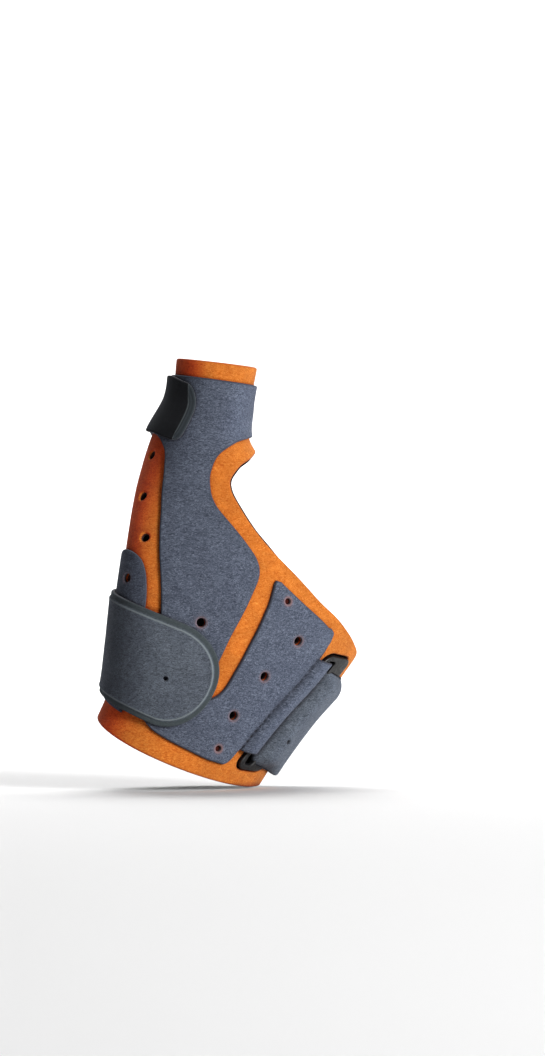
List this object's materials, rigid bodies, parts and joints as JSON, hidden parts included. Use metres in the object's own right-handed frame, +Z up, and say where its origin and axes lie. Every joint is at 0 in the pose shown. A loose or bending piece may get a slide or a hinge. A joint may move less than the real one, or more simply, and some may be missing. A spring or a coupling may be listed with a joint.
{
  "type": "thumb spica splint",
  "caption": "Right-hand wrap splint: laminated shell in a tube round the thumb, open round the fingers, velour panels, thumb tab and a wide wrist strap folded on a flat ring.",
  "frame": {"origin": "middle of the wearer's wrist, inside the strap, where the arm holds the splint", "axes": "+Z up along the thumb, -Y the side that shows the thumb and the back of the hand, +X the little-finger side"},
  "size_m": [0.087, 0.066, 0.1438],
  "materials": {
    "shell_laminate": "orange brushed cloth on a thin moulded core",
    "velour": "blue-grey loop velour",
    "tab_velour": "charcoal loop velour",
    "strap_velour": "grey loop velour with a pressed rim",
    "ring_plastic": "black moulded plastic"
  },
  "bodies": {
    "root": {"base_shell": "shell_laminate", "thumb_panel": "velour", "dorsal_panel": "velour", "radial_panel": "velour", "thumb_tab": "tab_velour", "strap_ring": "ring_plastic", "wrist_strap": "strap_velour"}
  },
  "joints": []
}
